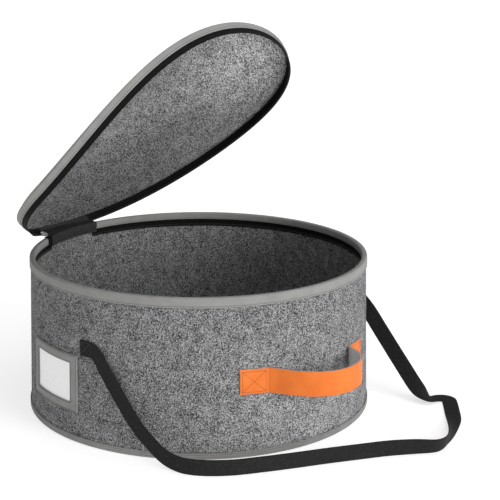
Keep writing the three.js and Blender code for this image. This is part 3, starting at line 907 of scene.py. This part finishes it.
def hinge_strip():
    shares = np.linspace(-1, 1, HINGE_COLUMNS)
    grid = np.array([spline(hinge_line(share), HINGE_SAMPLES) for share in shares])
    normals = grid_normals(grid)
    half = HINGE_CLOTH / 2
    down = np.linspace(0, 1, HINGE_SAMPLES)
    ripple = np.sin(9 * shares[:, None] + 5 * down) * np.sin(math.pi * down)
    slack = HINGE_SLACK * ripple * (1 - shares[:, None] ** 2)
    front = grid + normals * (half + slack)[..., None]
    back = grid + normals * (slack - half)[..., None]
    piece = weld(strip("hinge_cloth_strip", front, back, 0.35))
    finish_piece(piece, hinge_cloth, ["hinge_strip"])
    inside = -outwards(on_wall(HINGE_AZIMUTH, 0, 0))
    in_drum = HINGE_SAMPLES - 8
    seen = normals * np.sign(normals[HINGE_COLUMNS // 2, in_drum] @ inside)
    rows = []
    for place in ((2, slice(6, -4)), (-3, slice(6, -4)), (slice(1, -1), -3)):
        rows.append((grid[place] + seen[place] * (half + THREAD_ON_FACE), seen[place], False))
    stitches("hinge_cloth_seam", rows, black_thread, pitch=3.0)


# Zip slider

# From the solid's place to the top of the rim, on the tape's end
SLIDER_SHIFT = np.array([1.5, -3.2, 2.2])


def slider_part(name, outline, low, high, bevel):
    """Plate with bevelled edges, from an outline in its own plane."""
    middle = outline.mean(0)
    rings = []
    for height, share in ((low, 1 - bevel), (low + 0.3, 1.0), (high - 0.3, 1.0), (high, 1 - bevel)):
        shape = middle + (outline - middle) * share
        rings.append(np.column_stack([shape, np.full(len(shape), height)]))
    return loft(name, np.array(rings))


def zipper_slider():
    low, high = (np.array(corner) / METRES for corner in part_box("zipper_slider"))
    centre = (low + high) / 2 + SLIDER_SHIFT
    body = rounded([(-4.4, -1.9), (-1.8, -3.0), (4.3, -2.2), (4.3, 2.2), (-1.8, 3.0), (-4.4, 1.9)], 1.0, 3)
    parts = [
        slider_part("slider_lower_plate", body, -1.9, -0.7, 0.12),
        slider_part("slider_upper_plate", body, 0.5, 1.6, 0.12),
        slider_part("slider_post", rectangle(2.0, 1.6, 0.5), -1.0, 0.8, 0.05),
        slider_part("slider_bridge", rectangle(4.6, 1.3, 0.5), 1.3, 2.0, 0.2),
        slider_part("slider_pull", rectangle(9.5, 4.4, 1.8) + [1.8, 0], 1.95, 2.75, 0.08),
    ]
    angle = math.radians(HINGE_AZIMUTH + HINGE_HALF_TURN - 90)
    for number, part in enumerate(parts):
        part.data.transform(Matrix.Rotation(angle, 4, "Z"))
        part.data.transform(Matrix.Translation(Vector(centre * METRES)))
        finish_piece(part, nickel, ["zipper_slider"] if number == 0 else ())


# Carry handle

def box_and_cross(corners, count, place):
    """Seam lines round four corners and across them: place turns two offsets into points."""
    lines = []
    for start, end in ((0, 1), (1, 2), (2, 3), (3, 0), (0, 2), (1, 3)):
        line = place(*np.linspace(corners[start], corners[end], count).T)
        lines.append((line, outwards(line), False))
    return lines


def handle_rows():
    """Middle line of the handle's strip: distance along the wall and out from it."""
    half_span = HANDLE_SPAN / 2
    pad = np.linspace(half_span + HANDLE_PAD, half_span + 2, 22)
    grip = spline(vectors(GRIP_ROUTE["along"] * half_span, GRIP_ROUTE["out"] * HANDLE_BULGE, 0), 110)
    return np.vstack([vectors(-pad, 0), grip[:, :2], vectors(pad[::-1], 0)])


def handle_point(length, side, out):
    azimuth = HANDLE_AZIMUTH + wall_degrees(length, HANDLE_HEIGHT)
    height = HANDLE_HEIGHT - length * math.tan(math.radians(HANDLE_TILT)) + side * HANDLE_WIDTH
    return on_wall(azimuth, height, out)


def carry_handle():
    half = HANDLE_THICK / 2
    seat = GAP + half
    rows = handle_rows()
    sides = np.array([-0.5, -0.485, -0.455, -0.4, -0.25, 0.0, 0.25, 0.4, 0.455, 0.485, 0.5])
    crown = np.array([0.30, 0.10, 0.02, 0.0, 0.0, 0.0, 0.0, 0.0, 0.02, 0.10, 0.30])
    grid = handle_point(rows[:, :1], sides[None], seat + rows[:, 1:])
    normals = grid_normals(grid)
    outward = outwards(grid)
    normals *= np.sign((normals * outward).sum(-1).mean())
    join = 0.1
    outer = grid + normals * (half - crown)[None, :, None]
    split_out = grid - normals * join
    back = grid - normals * (half - crown * 0.5)[None, :, None]
    face = strip("handle_face", outer, split_out, 0.02)
    finish_piece(face, orange_hide, ["carry_handle"])
    lining = strip("handle_backing", grid - normals * (join + 0.06), back, 0.02)
    finish_piece(lining, hide_backing)
    handle_seams(seat + half + 0.03)


def handle_seams(out):
    """Box and cross on each pad."""
    margin = 2.6
    start = HANDLE_SPAN / 2 + 3.5
    end = HANDLE_SPAN / 2 + HANDLE_PAD - margin
    edge = 0.5 - margin / HANDLE_WIDTH
    lines = []
    for sign in (-1, 1):
        corners = [(sign * start, -edge), (sign * start, edge), (sign * end, edge), (sign * end, -edge)]
        lines += box_and_cross(corners, 24, lambda length, side: handle_point(length, side, out))
    stitches("handle_seam", lines, orange_thread, pitch=2.7)


# Label pocket

def label_point(x, y, out):
    return on_wall(LABEL_AZIMUTH + wall_degrees(x, LABEL_HEIGHT), LABEL_HEIGHT + y, out)


def label_card():
    x = np.linspace(-0.5, 0.5, 40)[:, None] * (LABEL_WINDOW[0] + 2 * CARD_MARGIN)
    y = np.linspace(-0.5, 0.5, 20)[None] * (LABEL_WINDOW[1] + 2 * CARD_MARGIN)
    card = strip("blank_card", label_point(x, y, GAP + CARD_THICK), label_point(x, y, GAP), 0.1)
    finish_piece(card, white_card, ["label_card"])


def label_frame():
    over_card = GAP + CARD_THICK + GAP
    face = over_card + FRAME_THICK
    corner = 1.6
    outer = resampled(rectangle(*LABEL_OUTER, corner, 5), 240)
    inner = resampled(rectangle(*LABEL_WINDOW, corner * 0.6, 5), 240)
    share_and_out = [
        (0.0, over_card + 0.1), (0.0, face - 0.45), (0.06, face - 0.1), (0.3, face), (0.7, face),
        (0.93, face - 0.1), (1.0, face - 0.5), (1.0, GAP), (0.42, GAP), (0.42, over_card),
    ]

    def ring(share, out):
        return label_point(*(inner * (1 - share) + outer * share).T, out)

    rings = np.stack([ring(*row) for row in share_and_out], 1)
    finish_piece(loft("label_frame_tape", rings, closed=True), tape, ["label_frame"])
    rows = [ring(share, face + 0.02) for share in (0.12, 0.88)]
    lines = [(row, outwards(row), True) for row in rows]
    stitches("label_frame_seam", lines, tape_thread, pitch=2.6)


def resampled(outline, count):
    """Closed outline with count points, at even angles once its two sides are scaled alike."""
    closed = np.vstack([outline, outline[:1]])
    x, y = closed.T / np.ptp(outline, axis=0)[:, None]
    angle = np.unwrap(np.arctan2(y, x))
    stops = angle[0] + (angle[-1] - angle[0]) * np.arange(count) / count
    return np.stack([np.interp(stops, angle, closed[:, axis]) for axis in (0, 1)], -1)


# Shoulder strap

STRAP_STEPS = 480
PAD_SAMPLES = 16
STRAP_EASE = 7

# Where one edge of the webbing turns tightly: the rows of the route that its bend spans, and
# how far it runs on before it turns, as a share of the distance between them
STRAP_FOLDS = [
    {"edge": "upper", "from_row": 18.6, "to_row": 24.6, "pull": 0.36},
    {"edge": "lower", "from_row": 29.0, "to_row": 32.0, "pull": 0.35},
    {"edge": "upper", "from_row": 26.4, "to_row": 30.6, "pull": 0.5},
]


def bridged(edge, first, last, pull):
    """Edge with the part between two samples drawn anew as one smooth bend."""
    t = np.linspace(0, 1, last - first + 1)[:, None]
    reach = np.linalg.norm(edge[last] - edge[first]) * pull
    leave = unit(edge[first] - edge[first - 5]) * reach
    arrive = unit(edge[last + 5] - edge[last]) * reach
    bend = ((2 * t ** 3 - 3 * t ** 2 + 1) * edge[first] + (t ** 3 - 2 * t ** 2 + t) * leave
            + (3 * t ** 2 - 2 * t ** 3) * edge[last] + (t ** 3 - t ** 2) * arrive)
    result = edge.copy()
    result[first:last + 1] = bend
    return result


def strap_section(half_width, half):
    """Across and normal offsets round the webbing, with rounded selvedges."""
    flat = np.linspace(-half_width + half, half_width - half, 12)
    ribs = 0.05 * np.cos(np.linspace(0, 10 * math.pi, 12))
    turn = np.radians([45, 0, -45])
    top = np.column_stack([flat, half + ribs])
    right = np.column_stack([half_width - half + half * np.cos(turn), half * np.sin(turn)])
    return np.vstack([top, right, -top, -right])


def strap_course(seat, pad_turn):
    """Middle line and roll of the free webbing, evenly spaced, and each row's share of its length."""
    lean = np.radians(STRAP_ROUTE["lean"])
    rest = STRAP_WIDTH / 2 * np.abs(np.cos(lean)) + STRAP_THICK / 2 * np.abs(np.sin(lean))
    level = np.maximum(STRAP_ROUTE["height"] * STRAP_HEIGHT, rest)
    start = STRAP_NEAR + pad_turn
    turn = start + (STRAP_FAR - pad_turn - start) * STRAP_ROUTE["turn"]
    middle = spline(on_wall(turn, level, seat + STRAP_REACH * STRAP_ROUTE["out"]), STRAP_STEPS)
    along = travelled(middle)
    rows = np.arange(len(STRAP_ROUTE))
    row_at = np.linspace(0, len(STRAP_ROUTE) - 1, STRAP_STEPS)
    even = np.linspace(0, along[-1], STRAP_STEPS)
    roll = np.interp(even, along, np.interp(row_at, rows, lean))
    row_share = np.interp(rows, row_at, along) / along[-1]
    return sampled(middle, along, even), smoothed(roll, STRAP_EASE), row_share


def shoulder_strap():
    half = STRAP_THICK / 2
    half_width = STRAP_WIDTH / 2
    seat = GAP + half
    pad_turn = float(wall_degrees(STRAP_PAD, STRAP_HEIGHT)) / 2
    middle, roll, row_share = strap_course(seat, pad_turn)
    tangent = unit(np.gradient(middle, axis=0))
    left = unit(np.cross([0, 0, 1.0], tangent))
    upright = np.cross(tangent, left)
    across = upright * np.cos(roll)[:, None] + left * np.sin(roll)[:, None]
    near, far = (
        on_wall(np.linspace(azimuth - pad_turn, azimuth + pad_turn, PAD_SAMPLES), STRAP_HEIGHT, seat)
        for azimuth in (STRAP_NEAR, STRAP_FAR))
    pad_across = np.tile([0, 0, 1.0], (PAD_SAMPLES - 1, 1))
    centre = np.vstack([near[:-1], middle, far[1:]])
    across = unit(smoothed(np.vstack([pad_across, across, -pad_across]), 3))
    normal = unit(np.cross(unit(np.gradient(centre, axis=0)), across))
    edges = {"upper": centre + across * half_width, "lower": centre - across * half_width}
    for fold in STRAP_FOLDS:
        shares = np.interp([fold["from_row"], fold["to_row"]], np.arange(len(row_share)), row_share)
        first, last = PAD_SAMPLES - 1 + (shares * (STRAP_STEPS - 1)).astype(int)
        edges[fold["edge"]] = bridged(edges[fold["edge"]], first, last, fold["pull"])
    upper = smoothed(edges["upper"], STRAP_EASE)
    lower = smoothed(edges["lower"], STRAP_EASE)
    centre = (upper + lower) / 2
    across = unit(upper - lower)
    normal = unit(smoothed(normal - across * (normal * across).sum(-1, keepdims=True), 2))
    section = strap_section(half_width, half)
    width = np.linalg.norm(upper - lower, axis=-1)[:, None, None] / STRAP_WIDTH
    rings = (centre[:, None] + across[:, None] * section[None, :, :1] * width
             + normal[:, None] * section[None, :, 1:])
    lift = np.maximum(0, -rings[..., 2].min(1))
    rings[..., 2] = np.maximum(rings[..., 2] + smoothed(lift, 2)[:, None], 0.0)
    finish_piece(loft("strap_webbing", rings), webbing, ["shoulder_strap"])
    strap_seams(seat + half + 0.06)


def smoothed(values, reach):
    kernel = np.hanning(2 * reach + 1)
    kernel /= kernel.sum()
    values = np.asarray(values, float)
    flat = values.reshape(len(values), -1)
    padded = np.pad(flat, ((reach, reach), (0, 0)), mode="edge")
    result = np.stack([np.convolve(padded[:, n], kernel, mode="valid") for n in range(flat.shape[1])], -1)
    return result.reshape(values.shape)


def strap_seams(out):
    """Box and cross sewn through each end of the strap."""
    margin = 2.4
    reach = STRAP_PAD / 2 - margin
    rise = STRAP_WIDTH / 2 - margin
    corners = [(-reach, -rise), (reach, -rise), (reach, rise), (-reach, rise)]
    lines = []
    for azimuth in (STRAP_NEAR, STRAP_FAR):
        lines += box_and_cross(corners, 20, lambda x, y: on_wall(
            azimuth + wall_degrees(x, STRAP_HEIGHT), STRAP_HEIGHT + y, out))
    stitches("strap_seam", lines, black_thread, pitch=2.4)


# Stage, light and camera

CAMERA_PLACE = (-1.2915, -1.2261, 0.6658)
CAMERA_FORWARD = (0.7252, 0.6396, -0.2550)
CAMERA_UP = (0.1874, 0.1729, 0.9669)
CAMERA_LENS = 103.39
CAMERA_SENSOR = 36.0
KEY_AZIMUTH = 1.0
KEY_HEIGHT = 15.0
KEY_STRENGTH = 1.75
KEY_SOFTNESS = 30.0
FLOOR_GLOW = 0.60
FLOOR_RADIUS = 14000.0
FLOOR_SIDES = 96
FLOOR_DROP = 0.2
SKY_DIM = 0.05
SKY_BRIGHT = 0.72
SKY_ABOVE = 0.45
SKY_HORIZON = 0.85


def direction(azimuth, height):
    """Unit vector towards a light at an azimuth and height, in degrees."""
    a, h = math.radians(azimuth), math.radians(height)
    return Vector((math.sin(a) * math.cos(h), -math.cos(a) * math.cos(h), math.sin(h)))


def floor():
    material, tree, shader = new_material("pale_floor", 0.9, 0.1)
    tone = noise(tree, object_coordinates(tree), 3.0)
    paint(tree, shader, tone, (0.64, 0.64, 0.64), (0.66, 0.66, 0.66))
    shader.inputs["Emission Color"].default_value = (1, 1, 1, 1)
    shader.inputs["Emission Strength"].default_value = FLOOR_GLOW
    angles = np.arange(FLOOR_SIDES) * 2 * math.pi / FLOOR_SIDES
    points = vectors(FLOOR_RADIUS * np.cos(angles), FLOOR_RADIUS * np.sin(angles), -FLOOR_DROP)
    ground = mesh_object("floor", points, [list(range(FLOOR_SIDES))])
    ground.data.materials.append(material)


def key_light():
    lamp = bpy.data.lights.new("key_light", "SUN")
    lamp.energy = KEY_STRENGTH
    lamp.angle = math.radians(KEY_SOFTNESS)
    obj = placed("key_light", lamp)
    obj.rotation_mode = "QUATERNION"
    obj.rotation_quaternion = direction(KEY_AZIMUTH, KEY_HEIGHT).to_track_quat("Z", "Y")


def sky():
    """Soft white surround, brighter on the side of the key light."""
    world = bpy.data.worlds.new("studio")
    bpy.context.scene.world = world
    world.use_nodes = True
    tree = world.node_tree
    where = tree.nodes.new("ShaderNodeTexCoord").outputs["Generated"]
    dot = add_node(tree, "ShaderNodeVectorMath", operation="DOT_PRODUCT")
    tree.links.new(where, dot.inputs[0])
    dot.inputs[1].default_value = direction(KEY_AZIMUTH, KEY_HEIGHT)
    glow = ramp(tree, dot.outputs["Value"], SKY_DIM, SKY_BRIGHT, -0.2, 1.0)
    split = tree.nodes.new("ShaderNodeSeparateXYZ")
    tree.links.new(where, split.inputs["Vector"])
    height = split.outputs["Z"]
    glow = maths(tree, "ADD", glow, ramp(tree, height, 0.0, SKY_ABOVE, 0.3, 0.8))
    glow = maths(tree, "ADD", glow, ramp(tree, height, SKY_HORIZON, 0.0, 0.09, 0.22))
    tree.links.new(glow, tree.nodes["Background"].inputs["Strength"])
    tree.nodes["Background"].inputs["Color"].default_value = (1, 1, 1, 1)


def camera():
    lens = bpy.data.cameras.new("camera")
    lens.lens = CAMERA_LENS
    lens.sensor_width = CAMERA_SENSOR
    lens.clip_end = 100.0
    obj = placed("camera", lens)
    forward = Vector(CAMERA_FORWARD).normalized()
    right = forward.cross(Vector(CAMERA_UP)).normalized()
    up = right.cross(forward)
    turn = Matrix((right, up, -forward)).transposed()
    obj.matrix_world = Matrix.Translation(CAMERA_PLACE) @ turn.to_4x4()
    bpy.context.scene.camera = obj


def studio():
    floor()
    sky()
    key_light()
    scene = bpy.context.scene
    scene.view_settings.view_transform = "Standard"
    scene.view_settings.look = "None"
    camera()


studio()
body_wall()
bottom_panel()
rim_binding()
bottom_binding()
body_zip_tape()
zip_tape_end()
trolley_band()
lid_felt()
lid_edge_binding()
lid_zip_tape()
hinge_strip()
zipper_slider()
carry_handle()
label_card()
label_frame()
shoulder_strap()
